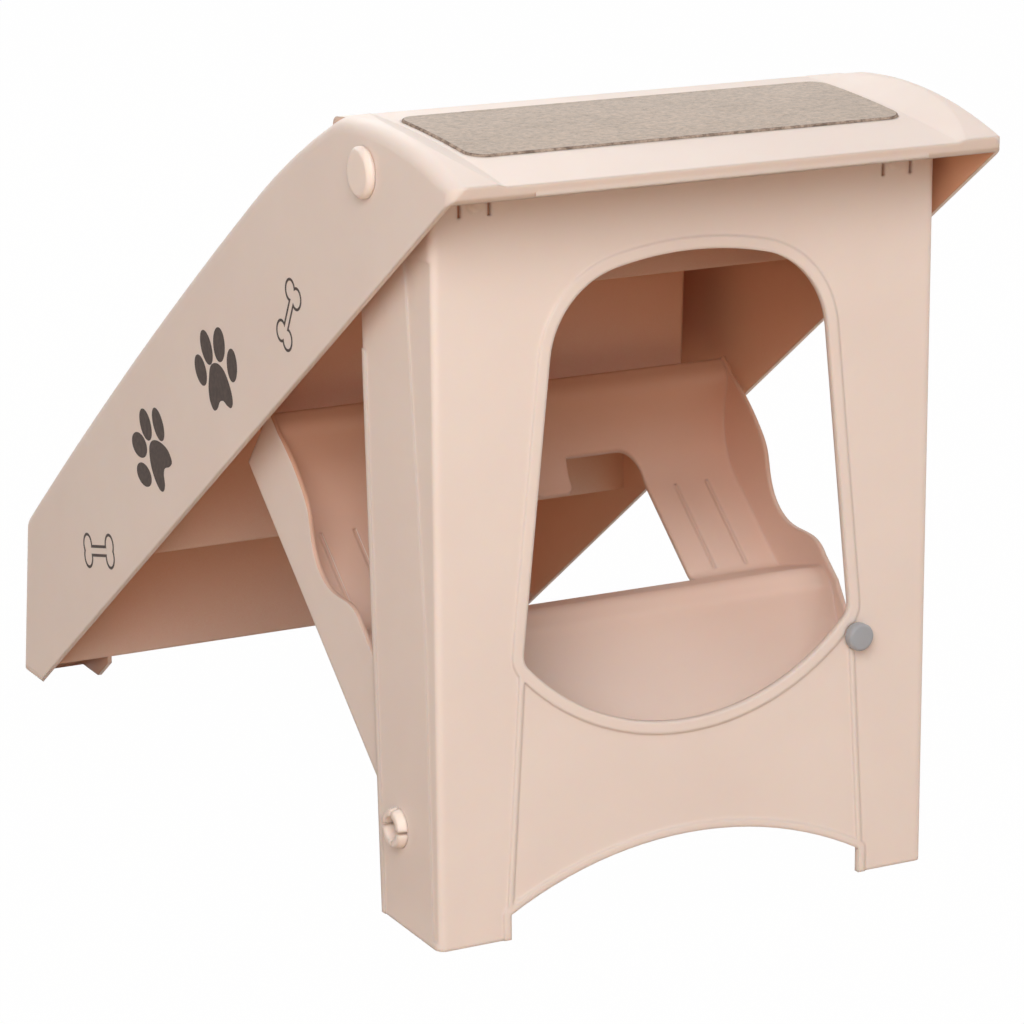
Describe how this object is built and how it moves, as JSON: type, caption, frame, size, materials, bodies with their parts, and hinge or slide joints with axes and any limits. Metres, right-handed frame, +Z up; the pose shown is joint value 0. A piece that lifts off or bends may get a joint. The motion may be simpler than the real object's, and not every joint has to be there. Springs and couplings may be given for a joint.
{
  "type": "pet stairs",
  "caption": "Folding moulded pet stairs with carpet pads on the steps, a hinged leg panel with a window and a folding brace.",
  "frame": {"origin": "centre of the footprint on the floor that the toes and the leg's feet stand on", "axes": "+Z up, +Y towards the high end with the leg panel, +X towards the left side for someone looking at the high end"},
  "size_m": [0.3994, 0.683, 0.495],
  "materials": {
    "moulded_plastic": "fine matt moulded",
    "carpet": "short pile",
    "button_plastic": "satin",
    "spring_steel": "drawn wire"
  },
  "bodies": {
    "stairs": {"stair_body": "moulded_plastic", "carpet_pad_1": "carpet", "carpet_pad_2": "carpet", "carpet_pad_3": "carpet", "carpet_pad_top": "carpet", "upper_pin_left": "moulded_plastic", "upper_pin_right": "moulded_plastic"},
    "leg": {"leg_panel": "moulded_plastic"},
    "brace": {"brace": "moulded_plastic", "lower_pin_left": "moulded_plastic", "lower_pin_right": "moulded_plastic"},
    "button": {"lock_button": "button_plastic", "button_spring": "spring_steel"}
  },
  "joints": [
    {"name": "leg_fold", "type": "hinge", "parent": "stairs", "child": "leg", "pos_m": [0, 0.2275, 0.466], "axis": [-1, 0, 0], "range_deg": [0, 22]},
    {"name": "brace_fold", "type": "hinge", "parent": "leg", "child": "brace", "pos_m": [0, 0.239, 0.063], "axis": [-1, 0, 0], "range_deg": [0, 50.4]},
    {"name": "button_press", "type": "slide", "parent": "leg", "child": "button", "axis": [0, -0.9999, -0.0152], "range_m": [0, 0.002], "stiffness_N_per_m": 800, "deforming": ["button_spring"]}
  ],
  "couplings": [
    {"joint": "brace_fold", "follows": "leg_fold", "ratio": 2.29}
  ]
}
